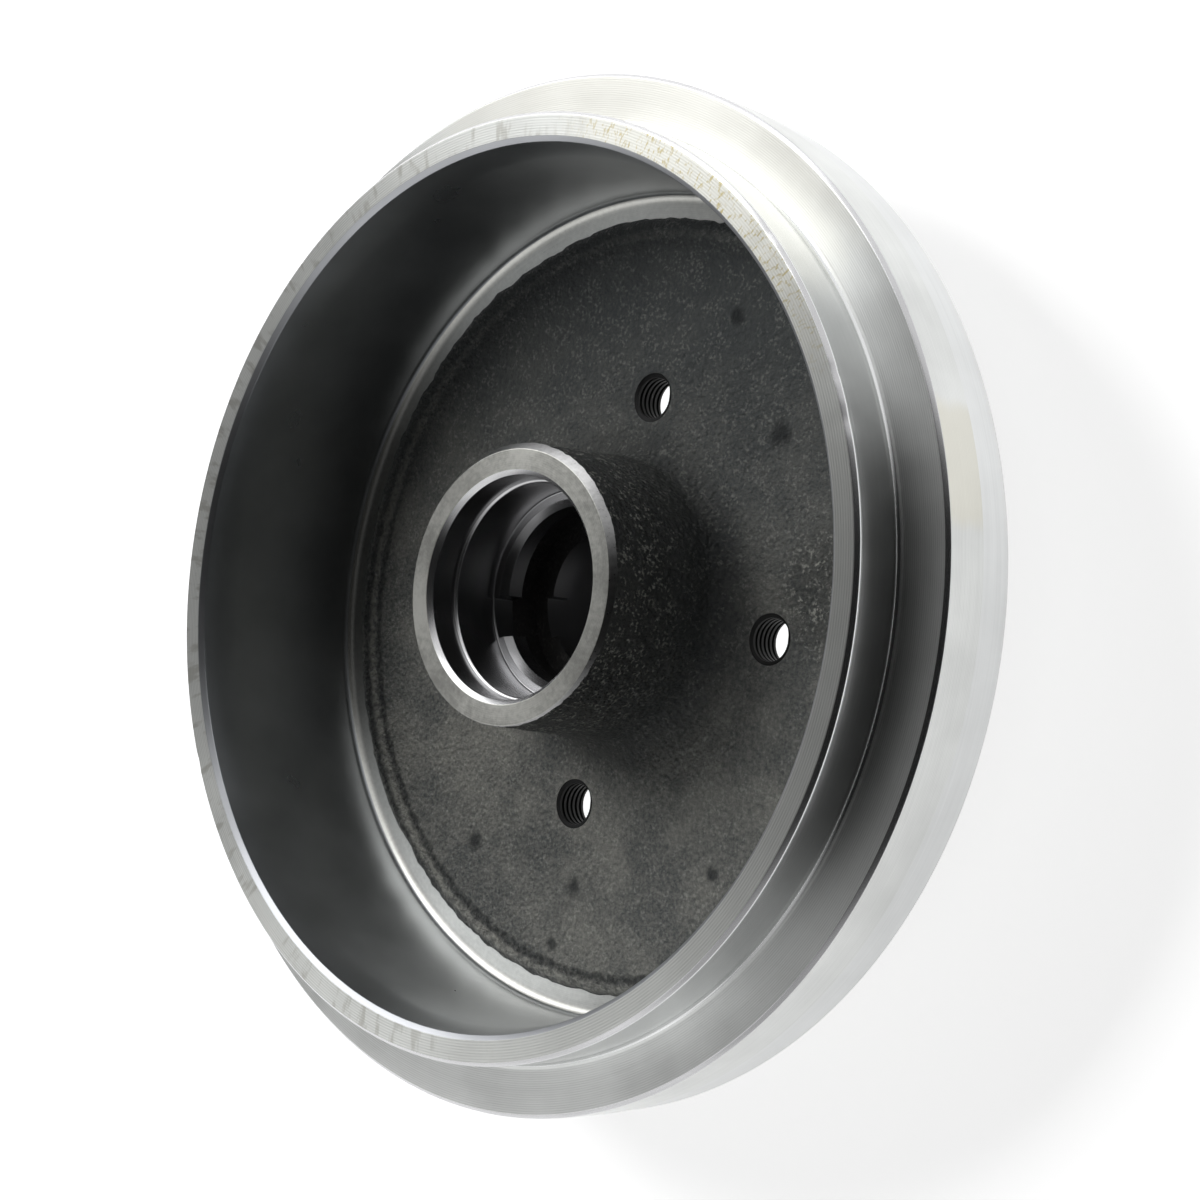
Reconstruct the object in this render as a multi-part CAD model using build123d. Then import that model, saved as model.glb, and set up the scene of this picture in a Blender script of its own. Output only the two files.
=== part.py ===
"""Rear brake drum with its wheel hub, cast in one piece.

The drum is one grey-iron casting. It is turned where the shoes, the bearings,
the seal and the wheel sit, and left as cast on the web and round the hub nose.

Frame: Z runs along the axle, up towards the open side, and Z = 0 is the end of
the wheel spigot, on which the drum stands. X points at one wheel bolt hole.
All sizes are in millimetres.
"""
import os
from math import cos, radians, sin, sqrt

from build123d import *

# Heights along the axle
SPIGOT_LENGTH = 17.0            # spigot end to wheel face
WEB_THICKNESS = 8.6             # wheel face to the cast front of the web
RING_RECESS = 2.6               # turned ring at the track's foot, below the cast web
DRUM_DEPTH = 49.0               # turned ring to lip face
LIP_HEIGHT = 13.5               # lip face to the flange's front face
FRONT_BAND_WIDTH = 12.2         # flange's front band along its rim
REAR_BAND_WIDTH = 10.3          # flange's rear band along its rim
NOSE_SETBACK = 10.3             # hub nose face below the lip face

# Diameters of the drum
TRACK_DIAMETER = 200.0          # friction surface
LIP_DIAMETER = 216.1
FLANGE_DIAMETER = 240.2
BAND_STEP = 0.35                # rear band, radially inside the front band
BARREL_DIAMETER = 216.0         # cast back of the friction ring
RING_BORDER_DIAMETER = 188.0    # where the turned ring meets the cast web
WHEEL_FACE_DIAMETER = 138.0
WHEEL_FACE_STEP = 0.8           # wheel face, proud of the rest of the web's back
SPIGOT_DIAMETER = 57.0

# Edges of the drum
TRACK_BEVEL = 2.3
TRACK_CORNER_BEVEL = 1.3
LIP_CHAMFER = 0.9
LIP_ROOT_BEVEL = 1.0
FLANGE_CHAMFER = 0.9
FLANGE_REAR_CHAMFER = 1.0
BARREL_CORNER_RADIUS = 8.0
RING_BORDER_RUN = 1.6           # how far the edge of the cast web leans in
SPIGOT_CHAMFER = 1.5

# Hub nose, cast a little off the axle
NOSE_DIAMETER = 65.8            # cast outside at the nose face
NOSE_ROOT_DIAMETER = 68.4       # cast outside where it meets the web
NOSE_ROOT_RADIUS = 6.0
NOSE_FACE_DIAMETER = 64.0       # where the turned bevel leaves the nose face
CAST_SHIFT = 0.8                # core shift of the cast nose
CAST_SHIFT_ANGLE = 68.0         # its direction, in degrees from X

# Turned bores of the hub, from the nose down
NOSE_BORE_BEVEL = 1.2
SEAL_DIAMETER = 52.2
SEAL_DEPTH = 7.7
INNER_SEAT_DIAMETER = 50.3
INNER_SEAT_DEPTH = 12.5
SEAT_BEVEL = 0.5
LAND_HEIGHT = 6.0               # each land that stops a bearing
INNER_LAND_DIAMETER = 42.9
INNER_LAND_BEVEL = 1.6
CAVITY_DIAMETER = 47.0          # grease space between the lands
OUTER_LAND_DIAMETER = 35.0
OUTER_SEAT_DIAMETER = 39.88
OUTER_SEAT_DEPTH = 11.5
CAP_DIAMETER = 43.0
CAP_DEPTH = 11.0
CAP_BEVEL = 0.8

# Slots through the lands, for driving the bearings out
SLOT_WIDTH = 10.0
SLOT_ANGLE = 23.4               # in degrees from X

# Wheel bolt holes
BOLT_COUNT = 4
BOLT_CIRCLE_DIAMETER = 100.0
BOLT_HOLE_DIAMETER = 10.5       # crest of the M12 thread
BOLT_COUNTERSINK = 0.9          # on the drum's inside

# How far a cutting tool runs past its mouth
OVERSHOOT = 2.0

# Derived heights
wheel_face_z = SPIGOT_LENGTH
web_back_z = wheel_face_z + WHEEL_FACE_STEP
web_front_z = wheel_face_z + WEB_THICKNESS
ring_z = web_front_z - RING_RECESS
lip_z = ring_z + DRUM_DEPTH
flange_front_z = lip_z - LIP_HEIGHT
band_step_z = flange_front_z - FRONT_BAND_WIDTH
flange_rear_z = band_step_z - REAR_BAND_WIDTH
nose_z = lip_z - NOSE_SETBACK


def half_section(corners):
    """Closed half section through the axle, from its corners as (radius, height)."""
    return make_face(Polyline(*corners, close=True))


def turned(section):
    """Revolve a half section about the axle."""
    return revolve(Plane.XZ * section, Axis.Z)


def drum_body():
    """Friction ring, flange, web and wheel spigot, without the hub nose and bores."""
    spigot_r = SPIGOT_DIAMETER / 2
    face_r = WHEEL_FACE_DIAMETER / 2
    barrel_r = BARREL_DIAMETER / 2
    front_r = FLANGE_DIAMETER / 2
    rear_r = front_r - BAND_STEP
    lip_r = LIP_DIAMETER / 2
    track_r = TRACK_DIAMETER / 2
    border_r = RING_BORDER_DIAMETER / 2
    section = half_section([
        (0, 0),
        (spigot_r - SPIGOT_CHAMFER, 0),
        (spigot_r, SPIGOT_CHAMFER),
        (spigot_r, wheel_face_z),
        (face_r, wheel_face_z),
        (face_r + WHEEL_FACE_STEP, web_back_z),
        (barrel_r, web_back_z),
        (barrel_r, flange_rear_z),
        (rear_r - FLANGE_REAR_CHAMFER, flange_rear_z),
        (rear_r, flange_rear_z + FLANGE_REAR_CHAMFER),
        (rear_r, band_step_z),
        (front_r, band_step_z),
        (front_r, flange_front_z - FLANGE_CHAMFER),
        (front_r - FLANGE_CHAMFER, flange_front_z),
        (lip_r + LIP_ROOT_BEVEL, flange_front_z),
        (lip_r, flange_front_z + LIP_ROOT_BEVEL),
        (lip_r, lip_z - LIP_CHAMFER),
        (lip_r - LIP_CHAMFER, lip_z),
        (track_r + TRACK_BEVEL, lip_z),
        (track_r, lip_z - TRACK_BEVEL),
        (track_r, ring_z + TRACK_CORNER_BEVEL),
        (track_r - TRACK_CORNER_BEVEL, ring_z),
        (border_r, ring_z),
        (border_r - RING_BORDER_RUN, web_front_z),
        (0, web_front_z),
    ])
    barrel_corner = section.vertices().sort_by_distance((barrel_r, web_back_z))[0]
    return turned(fillet(barrel_corner, BARREL_CORNER_RADIUS))


def with_hub_nose(body):
    """Add the cast nose and its root fillet, then turn its face and outer bevel."""
    shift = Pos(
        CAST_SHIFT * cos(radians(CAST_SHIFT_ANGLE)),
        CAST_SHIFT * sin(radians(CAST_SHIFT_ANGLE)),
    )
    inside_web_z = web_front_z - WEB_THICKNESS / 2
    nose = turned(half_section([
        (0, inside_web_z),
        (NOSE_ROOT_DIAMETER / 2, inside_web_z),
        (NOSE_ROOT_DIAMETER / 2, web_front_z),
        (NOSE_DIAMETER / 2, nose_z),
        (0, nose_z),
    ]))
    joined = body + shift * nose
    root = [
        edge
        for edge in joined.edges().filter_by(GeomType.CIRCLE)
        if abs(edge.center().Z - web_front_z) < 1e-6
        and abs(edge.radius - NOSE_ROOT_DIAMETER / 2) < 1e-6
    ]
    joined = fillet(root, NOSE_ROOT_RADIUS)
    face_r = NOSE_FACE_DIAMETER / 2
    reach = (NOSE_DIAMETER - NOSE_FACE_DIAMETER) / 2 + CAST_SHIFT + OVERSHOOT
    bevel_tool = turned(half_section([
        (face_r, nose_z),
        (face_r, nose_z + OVERSHOOT),
        (face_r + reach, nose_z + OVERSHOOT),
        (face_r + reach, nose_z - reach),
    ]))
    return joined - bevel_tool


def hub_bores():
    """Everything that is bored through the hub, as one turned tool."""
    seal_r = SEAL_DIAMETER / 2
    inner_r = INNER_SEAT_DIAMETER / 2
    inner_land_r = INNER_LAND_DIAMETER / 2
    cavity_r = CAVITY_DIAMETER / 2
    outer_land_r = OUTER_LAND_DIAMETER / 2
    outer_r = OUTER_SEAT_DIAMETER / 2
    cap_r = CAP_DIAMETER / 2
    seal_floor_z = nose_z - SEAL_DEPTH
    inner_stop_z = seal_floor_z - INNER_SEAT_DEPTH
    outer_stop_z = CAP_DEPTH + OUTER_SEAT_DEPTH
    return turned(half_section([
        (0, -OVERSHOOT),
        (cap_r + CAP_BEVEL + OVERSHOOT, -OVERSHOOT),
        (cap_r, CAP_BEVEL),
        (cap_r, CAP_DEPTH),
        (outer_r + SEAT_BEVEL, CAP_DEPTH),
        (outer_r, CAP_DEPTH + SEAT_BEVEL),
        (outer_r, outer_stop_z),
        (outer_land_r, outer_stop_z),
        (outer_land_r, outer_stop_z + LAND_HEIGHT),
        (cavity_r, outer_stop_z + LAND_HEIGHT),
        (cavity_r, inner_stop_z - LAND_HEIGHT),
        (inner_land_r, inner_stop_z - LAND_HEIGHT),
        (inner_land_r, inner_stop_z - INNER_LAND_BEVEL),
        (inner_land_r + INNER_LAND_BEVEL, inner_stop_z),
        (inner_r, inner_stop_z),
        (inner_r, seal_floor_z - SEAT_BEVEL),
        (inner_r + SEAT_BEVEL, seal_floor_z),
        (seal_r, seal_floor_z),
        (seal_r, nose_z - NOSE_BORE_BEVEL),
        (seal_r + NOSE_BORE_BEVEL + OVERSHOOT, nose_z + OVERSHOOT),
        (0, nose_z + OVERSHOOT),
    ]))


def driving_slots():
    """Two opposite slots through each land, as wide as a drift and just inside the seat."""
    inner_reach = sqrt(INNER_SEAT_DIAMETER**2 - SLOT_WIDTH**2)
    outer_reach = sqrt(OUTER_SEAT_DIAMETER**2 - SLOT_WIDTH**2)
    inner_mid_z = nose_z - SEAL_DEPTH - INNER_SEAT_DEPTH - LAND_HEIGHT / 2
    outer_mid_z = CAP_DEPTH + OUTER_SEAT_DEPTH + LAND_HEIGHT / 2
    inner = Pos(0, 0, inner_mid_z) * Box(inner_reach, SLOT_WIDTH, LAND_HEIGHT)
    outer = Pos(0, 0, outer_mid_z) * Box(outer_reach, SLOT_WIDTH, LAND_HEIGHT)
    return Rot(0, 0, SLOT_ANGLE) * (inner + outer)


def wheel_bolt_holes():
    """Bolt holes on their circle, countersunk on the drum's inside."""
    hole_r = BOLT_HOLE_DIAMETER / 2
    mouth = BOLT_COUNTERSINK + OVERSHOOT
    hole = turned(half_section([
        (0, wheel_face_z - OVERSHOOT),
        (hole_r, wheel_face_z - OVERSHOOT),
        (hole_r, web_front_z - BOLT_COUNTERSINK),
        (hole_r + mouth, web_front_z + OVERSHOOT),
        (0, web_front_z + OVERSHOOT),
    ]))
    return [place * hole for place in PolarLocations(BOLT_CIRCLE_DIAMETER / 2, BOLT_COUNT)]


def brake_drum():
    """The finished casting."""
    drum = with_hub_nose(drum_body())
    drum -= hub_bores()
    drum -= driving_slots()
    for hole in wheel_bolt_holes():
        drum -= hole
    drum.label = "brake_drum"
    return drum


os.makedirs("parts", exist_ok=True)
export_step(brake_drum(), "parts/brake_drum.step")
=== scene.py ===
# %% [markdown]
# # A rear brake drum, straight off the lathe
#
# The object is one grey-iron casting: a friction ring that is open at the top, a web with four
# threaded wheel bolt holes, and a hub nose that is bored for its bearings. The lathe has touched
# only the faces that work. The web and the flank of the nose keep the rough skin of the sand mould.
#
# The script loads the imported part, which fixes every size, and then dresses it: one finely turned
# mesh takes the place of the plain solid, and each finish of the metal gets a material of its own.

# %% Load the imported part
import math

import bmesh
import bpy
from mathutils import Matrix, Quaternion, Vector, noise


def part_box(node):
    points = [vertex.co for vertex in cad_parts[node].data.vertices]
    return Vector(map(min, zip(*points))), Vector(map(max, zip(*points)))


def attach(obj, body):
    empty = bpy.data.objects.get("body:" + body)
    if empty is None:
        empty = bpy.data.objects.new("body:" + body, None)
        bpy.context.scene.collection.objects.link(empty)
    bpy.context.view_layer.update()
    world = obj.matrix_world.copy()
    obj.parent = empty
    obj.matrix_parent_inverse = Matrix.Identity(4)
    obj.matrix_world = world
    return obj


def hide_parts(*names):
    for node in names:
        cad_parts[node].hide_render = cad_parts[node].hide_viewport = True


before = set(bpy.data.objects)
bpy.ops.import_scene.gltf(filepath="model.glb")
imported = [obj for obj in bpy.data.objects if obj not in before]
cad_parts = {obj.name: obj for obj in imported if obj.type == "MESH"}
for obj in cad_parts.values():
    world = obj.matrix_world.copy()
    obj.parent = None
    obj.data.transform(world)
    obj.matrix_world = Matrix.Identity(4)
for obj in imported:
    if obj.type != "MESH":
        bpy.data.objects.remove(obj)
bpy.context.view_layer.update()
low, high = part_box("brake_drum")
MM = 0.001
print("drum:", round((high.x - low.x) / MM, 1), "mm across,", round(high.z / MM, 1), "mm high")


# %% Put an object into the scene
def new_object(name, data):
    """Object that holds this data, linked to the scene."""
    made = bpy.data.objects.new(name, data)
    bpy.context.scene.collection.objects.link(made)
    return made


# %% [markdown]
# ## The camera
#
# The drum stands flat on its spigot, so its axle points straight up. The view comes from above and
# to one side, and it is rolled until the axle lies almost level in the picture. A lens of about
# 70 mm, half a metre away, gives the perspective of a photograph that was taken across a table. The
# camera's place could be typed in as three numbers, but those say little. Here it is worked out
# from the point of the lip plane that it looks at, the distance, two angles and the roll, because
# each of those can be read and changed by itself.

# %% Camera
VIEW_AIM = Vector((39.7, 2.8, 72.0)) * MM
VIEW_DISTANCE = 498.1 * MM
VIEW_AZIMUTH = math.radians(-175.83)
VIEW_ELEVATION = math.radians(46.37)
VIEW_ROLL = math.radians(82.07)
LENS_MM = 69.49
SENSOR_MM = 36.0

look = Vector((
    math.cos(VIEW_AZIMUTH) * math.cos(VIEW_ELEVATION),
    math.sin(VIEW_AZIMUTH) * math.cos(VIEW_ELEVATION),
    -math.sin(VIEW_ELEVATION),
))
camera_data = bpy.data.cameras.new("camera")
camera_data.lens = LENS_MM
camera_data.sensor_width = SENSOR_MM
camera = new_object("camera", camera_data)
camera.location = VIEW_AIM - look * VIEW_DISTANCE
camera.rotation_mode = "QUATERNION"
camera.rotation_quaternion = look.to_track_quat("-Z", "Y") @ Quaternion((0, 0, 1), -VIEW_ROLL)
bpy.context.scene.camera = camera
print("camera at", [round(c, 4) for c in camera.location])

# %% [markdown]
# ## The half section
#
# Every turned shape starts as a half section. Each corner below has a radius, a height, the length
# of edge that its rounding takes, the number of steps in that rounding, and the finish of the
# stretch that follows it. No real edge is sharp, so almost every corner gets a small rounding: that
# thin band is what catches the light along an edge. The section goes once round the metal: from the
# spigot out along the back, over the rim and the lip, in across the web, and down the bore. All of
# it is in millimetres, and the finished mesh is scaled to metres once, at the end.

# %% Sizes of the casting, in millimetres
RIM_R = high.x / MM
LIP_TOP = high.z / MM
SHOULDER_Z = LIP_TOP - 13.5
BAND_Z = SHOULDER_Z - 12.2
RIM_BACK_Z = BAND_Z - 10.3
NOSE_Z = LIP_TOP - 10.3
LIP_R = 108.05
TRACK_R = 100.0
RING_Z = 23.0
WEB_Z = 25.6
BORDER_R = 94.0
WHEEL_FACE_Z = 17.0
WHEEL_FACE_R = 69.0
SPIGOT_R = 28.5
BARREL_R = 108.0
NOSE_ROOT_R = 34.2
NOSE_TOP_R = 32.9
NOSE_FACE_R = 32.0
SEAL_R = 26.1
SEAL_Z = NOSE_Z - 7.7
SEAT_R = 25.15
SEAT_Z = SEAL_Z - 12.5
LAND_R = 21.45
LAND_DEPTH = 6.0
CAVITY_R = 23.5
OUTER_LAND_R = 17.5
OUTER_SEAT_R = 19.94
OUTER_SEAT_Z = 22.5
CAP_R = 21.5
CAP_DEPTH = 11.0
NOSE_EDGE_Z = NOSE_Z - (NOSE_TOP_R - NOSE_FACE_R)
BOLT_CIRCLE_R = 50.0
BOLT_ZONE = 9.0
TOUCH = 0.01

BACK = [
    (CAP_R + 0.8, 0.0, 0.15, 1, "turned"),
    (SPIGOT_R - 1.5, 0.0, 0.2, 1, "turned"),
    (SPIGOT_R, 1.5, 0.2, 1, "turned"),
    (SPIGOT_R, WHEEL_FACE_Z, 0.5, 2, "turned"),
    (BOLT_CIRCLE_R - BOLT_ZONE, WHEEL_FACE_Z, 0.0, 0, "turned"),
    (BOLT_CIRCLE_R + BOLT_ZONE, WHEEL_FACE_Z, 0.0, 0, "turned"),
    (WHEEL_FACE_R, WHEEL_FACE_Z, 0.2, 1, "turned"),
    (WHEEL_FACE_R + 0.8, WHEEL_FACE_Z + 0.8, 0.2, 1, "cast"),
    (BARREL_R, WHEEL_FACE_Z + 0.8, 8.0, 8, "cast"),
    (BARREL_R, RIM_BACK_Z, 2.0, 4, "turned"),
]
RIM = [
    (RIM_R - 1.35, RIM_BACK_Z, 0.3, 2, "turned"),
    (RIM_R - 0.35, RIM_BACK_Z + 1.0, 0.3, 2, "rear_band"),
    (RIM_R - 0.35, BAND_Z - 0.25, 0.1, 1, "rear_band"),
    (RIM_R, BAND_Z, 0.15, 1, "front_band"),
    (RIM_R, SHOULDER_Z - 0.9, 0.25, 2, "edge"),
    (RIM_R - 0.9, SHOULDER_Z, 0.25, 2, "shoulder"),
    (LIP_R, SHOULDER_Z, 1.5, 5, "lip_wall"),
    (LIP_R, LIP_TOP - 0.9, 0.25, 2, "edge"),
    (LIP_R - 0.9, LIP_TOP, 0.25, 2, "lip_face"),
    (TRACK_R + 2.3, LIP_TOP, 0.2, 2, "track_bevel"),
]
INSIDE = [
    (TRACK_R + 1.15, LIP_TOP - 1.15, 0.2, 2, "track"),
    (TRACK_R, LIP_TOP - 7.0, 3.5, 4, "track"),
    (TRACK_R, RING_Z, 2.6, 7, "ring"),
    (BORDER_R, RING_Z, 0.12, 1, "cast"),
    (BORDER_R - 0.6, RING_Z + 1.4, 0.3, 2, "cast"),
    (BORDER_R - 2.4, WEB_Z, 0.6, 2, "cast"),
    (NOSE_ROOT_R, WEB_Z, 6.0, 8, "cast"),
    (NOSE_TOP_R, NOSE_EDGE_Z, 0.0, 0, "nose_bevel"),
    (NOSE_FACE_R, NOSE_Z, 0.12, 1, "nose_face"),
]
BORE = [
    (SEAL_R + 1.2, NOSE_Z, 0.12, 1, "edge"),
    (SEAL_R, NOSE_Z - 1.2, 0.12, 1, "bore"),
    (SEAL_R, SEAL_Z, 0.1, 1, "edge"),
    (SEAT_R + 0.5, SEAL_Z, 0.1, 1, "edge"),
    (SEAT_R, SEAL_Z - 0.5, 0.1, 1, "bore"),
    (SEAT_R, SEAT_Z, 0.5, 2, "edge"),
    (LAND_R + 1.6, SEAT_Z, 0.1, 1, "bore"),
    (LAND_R, SEAT_Z - 1.6, 0.1, 1, "bore"),
    (LAND_R, SEAT_Z - LAND_DEPTH, 0.0, 0, "cavity"),
    (CAVITY_R, SEAT_Z - LAND_DEPTH, 0.0, 0, "cavity"),
    (CAVITY_R, OUTER_SEAT_Z + LAND_DEPTH, 0.0, 0, "cavity"),
    (OUTER_LAND_R, OUTER_SEAT_Z + LAND_DEPTH, 0.0, 0, "bore"),
    (OUTER_LAND_R, OUTER_SEAT_Z, 0.0, 0, "bore"),
    (OUTER_SEAT_R, OUTER_SEAT_Z, 0.2, 1, "bore"),
    (OUTER_SEAT_R, CAP_DEPTH + 0.5, 0.1, 1, "edge"),
    (OUTER_SEAT_R + 0.5, CAP_DEPTH, 0.1, 1, "turned"),
    (CAP_R, CAP_DEPTH, 0.2, 1, "bore"),
    (CAP_R, 0.8, 0.15, 1, "edge"),
]
SECTION = BACK + RIM + INSIDE + BORE
FINISHES = sorted({corner[4] for corner in SECTION} | {"thread"})
print(len(SECTION), "corners,", len(FINISHES), "finishes:", ", ".join(FINISHES))

# %% [markdown]
# ## Turning the section into a solid
#
# A lathe makes a shape by turning a section about an axle, and the spin operator does the same.
# The section is drawn as a loose loop of edges, its corners are rounded with a vertex bevel, and
# long stretches are cut into shorter ones where the surface will need relief later. The last step
# of the spin is merged with the first, which closes the seam. A Screw modifier would also do it,
# but the faces have to be there now, because the next steps cut and push them.

# %% Draw, round and divide the section
STEPS = 364
WEB_PITCH = 1.15
FLANK_PITCH = 0.8
WHEEL_FACE_PITCH = 1.6
PLAIN_PITCH = 5.0
FLANK_ZONE_R = 38.0


def pitch_at(radius, height):
    """Longest stretch allowed here: short where relief or a bolt hole will need it."""
    on_web = FLANK_ZONE_R < radius < BORDER_R + 1 and height > RING_Z
    on_flank = NOSE_FACE_R < radius < FLANK_ZONE_R and WEB_Z < height < NOSE_EDGE_Z
    behind_bolts = abs(radius - BOLT_CIRCLE_R) < BOLT_ZONE and height < WHEEL_FACE_Z + 1
    if on_flank:
        return FLANK_PITCH
    if on_web:
        return WEB_PITCH
    return WHEEL_FACE_PITCH if behind_bolts else PLAIN_PITCH


def draw_section(bm):
    """Closed loop of edges in the XZ plane, rounded and divided."""
    verts = [bm.verts.new((corner[0], 0, corner[1])) for corner in SECTION]
    for here, there in zip(verts, verts[1:] + verts[:1]):
        bm.edges.new((here, there))
    roundings = {}
    for vert, corner in zip(verts, SECTION):
        if corner[3]:
            roundings.setdefault((corner[2], corner[3]), []).append(vert)
    for (length, steps), corners in roundings.items():
        bmesh.ops.bevel(
            bm, geom=corners, offset=length, offset_type="OFFSET", segments=steps,
            profile=0.5, affect="VERTICES", material=-1, clamp_overlap=True,
        )
    cuts = {}
    for edge in bm.edges:
        middle = (edge.verts[0].co + edge.verts[1].co) / 2
        count = math.ceil(edge.calc_length() / pitch_at(middle.x, middle.z)) - 1
        if count > 0:
            cuts.setdefault(count, []).append(edge)
    for count, edges in cuts.items():
        bmesh.ops.subdivide_edges(bm, edges=edges, cuts=count)


drum = bmesh.new()
draw_section(drum)
print("stretches in the section:", len(drum.edges))

# %% Spin it
bmesh.ops.spin(
    drum, geom=drum.verts[:] + drum.edges[:], cent=(0, 0, 0), axis=(0, 0, 1),
    angle=math.tau, steps=STEPS, use_merge=True, use_duplicate=False,
)
bmesh.ops.remove_doubles(drum, verts=drum.verts, dist=0.0005)
bmesh.ops.recalc_face_normals(drum, faces=drum.faces)
print("faces after the spin:", len(drum.faces))

# %% [markdown]
# ## Which finish goes where
#
# Each face takes the finish of the nearest stretch of the section. This is settled now, while the
# shape is still perfectly round, so that a later push of the surface carries its finish along.

# %% Give each face its finish
def distance_to_stretch(radius, height, start, end):
    """How far a point of the half plane lies from one stretch of the section."""
    along = (end[0] - start[0], end[1] - start[1])
    size = along[0] ** 2 + along[1] ** 2
    share = ((radius - start[0]) * along[0] + (height - start[1]) * along[1]) / size
    share = min(1.0, max(0.0, share))
    return math.hypot(radius - start[0] - share * along[0], height - start[1] - share * along[1])


def finish_at(radius, height):
    """Finish of the stretch of the section that passes nearest to this point."""
    stretches = zip(SECTION, SECTION[1:] + SECTION[:1])
    nearest = min(stretches, key=lambda pair: distance_to_stretch(radius, height, *pair))
    return nearest[0][4]


finish_of_ring = {}
for face in drum.faces:
    middle = face.calc_center_median()
    key = (round(math.hypot(middle.x, middle.y), 2), round(middle.z, 2))
    if key not in finish_of_ring:
        finish_of_ring[key] = finish_at(*key)
    face.material_index = FINISHES.index(finish_of_ring[key])
print("rings of faces:", len(finish_of_ring))

# %% [markdown]
# ## The nose was cast a little off the axle
#
# The core of the mould had moved, so the rough outside of the nose stands off the axle by most of a
# millimetre. The lathe then cut the nose face and the bevel round it true to the axle. That is why
# the bright bevel is wide on one side and dies away on the other. The flank is moved sideways here,
# and its top edge climbs or drops until it meets the cone of the bevel again.

# %% Move the cast nose off the axle
CAST_SHIFT = 0.8
CAST_SHIFT_ANGLE = math.radians(68.0)
SHIFT_FULL_R = 36.0
SHIFT_NONE_R = 45.0
BEVEL_WIDTH = NOSE_TOP_R - NOSE_FACE_R
THINNEST_BEVEL = 0.12
EDGE_RAGGED = ((4.0, 0.16), (1.4, 0.14))
EDGE_SEED = 23


def smooth_step(low_end, high_end, value):
    """0 below the low end, 1 above the high end, and a soft S between them."""
    share = min(1.0, max(0.0, (value - low_end) / (high_end - low_end)))
    return share * share * (3 - 2 * share)


def grain(point, layers, seed):
    """Sum of noise layers, each with its own size and height in millimetres."""
    start = Vector((seed, seed * 1.7, -seed))
    return sum(noise.noise(point / size + start) * height for size, height in layers)


shift = Vector((math.cos(CAST_SHIFT_ANGLE), math.sin(CAST_SHIFT_ANGLE), 0)) * CAST_SHIFT
moved = 0
for vert in drum.verts:
    radius = math.hypot(vert.co.x, vert.co.y)
    beside = not NOSE_FACE_R + 0.5 < radius < SHIFT_NONE_R
    if beside or not WEB_Z - 0.5 < vert.co.z < NOSE_EDGE_Z + TOUCH:
        continue
    up_the_flank = max(0.0, vert.co.z - WEB_Z) / (NOSE_EDGE_Z - WEB_Z)
    vert.co += shift * (1 - smooth_step(SHIFT_FULL_R, SHIFT_NONE_R, radius))
    away = Vector((vert.co.x, vert.co.y, 0)).normalized()
    offset = max(away.dot(shift), THINNEST_BEVEL - BEVEL_WIDTH)
    vert.co.z -= offset * up_the_flank
    if up_the_flank > 0.999:
        ragged = grain(away * NOSE_TOP_R, EDGE_RAGGED, EDGE_SEED)
        ragged = max(ragged, THINNEST_BEVEL / 2 - BEVEL_WIDTH - offset)
        vert.co.x, vert.co.y = (away * (NOSE_TOP_R + offset + ragged)).xy
        vert.co.z -= ragged
    moved += 1
print("vertices moved on the nose:", moved)

# %% [markdown]
# ## Slots for the drift
#
# Each land that stops a bearing has two opposite slots, through which a drift reaches the back of
# the bearing ring to knock it out. The columns of vertices that lie inside a slot are pushed out to
# its floor. The two columns beside each wall are lined up with it, so that the walls stand square.

# %% Slots through the two lands
SLOT_WIDTH = 10.0
SLOT_ANGLE = math.radians(23.4)
SLOT_WALL = 0.03
LANDS = [
    (LAND_R, SEAT_R - 0.6, SEAT_Z - LAND_DEPTH, SEAT_Z),
    (OUTER_LAND_R, OUTER_SEAT_R - 0.6, OUTER_SEAT_Z, OUTER_SEAT_Z + LAND_DEPTH),
]


def cut_slots(bm, land_r, floor_r, bottom, top):
    """Push the columns of a land out to the slot's floor and square up its walls."""
    half = SLOT_WIDTH / 2
    turn = Matrix.Rotation(-SLOT_ANGLE, 3, "Z")
    step = math.tau / STEPS
    wall_angle = math.asin(half / ((land_r + floor_r) / 2))
    pushed = 0
    for vert in bm.verts:
        radius = math.hypot(vert.co.x, vert.co.y)
        if radius > floor_r + TOUCH or not bottom - TOUCH < vert.co.z < top + TOUCH:
            continue
        local = turn @ vert.co
        angle = math.atan2(abs(local.y), abs(local.x))
        beyond = (angle - wall_angle) / step
        if beyond > 1:
            continue
        across, along = math.copysign(1, local.y), math.copysign(1, local.x)
        reach = radius if beyond > 0 else floor_r
        if abs(beyond) <= 1:
            offset = half + SLOT_WALL if beyond > 0 else half - SLOT_WALL
        else:
            offset = reach * math.sin(angle)
        local.x = along * math.sqrt(reach ** 2 - offset ** 2)
        local.y = across * offset
        vert.co = turn.transposed() @ local
        pushed += beyond <= 0
    return pushed


for land in LANDS:
    print("vertices pushed into slots:", cut_slots(drum, *land))

# %% [markdown]
# ## Threaded bolt holes
#
# Four wheel bolts screw into the web. A thread can't be cut by the spin of the section, so the web
# is opened round each hole, front and back, and a threaded tube is set in. The tube is spun like a
# real thread is cut: the profile of one turn goes round while it climbs by one pitch, so each turn
# lands on the start of the next. A boolean cut would give the same hole, but it leaves long thin
# faces, and bridging two loops keeps the mesh clean and closed.

# %% Open the web round each hole
BOLT_COUNT = 4
OPENING_R = 7.7
OPENING_MARGIN = 0.5
RIM_REACH = 3.0


def axis_of(index):
    """Centre of one bolt hole in the XY plane."""
    angle = math.tau * index / BOLT_COUNT
    return Vector((math.cos(angle), math.sin(angle))) * BOLT_CIRCLE_R


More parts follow.
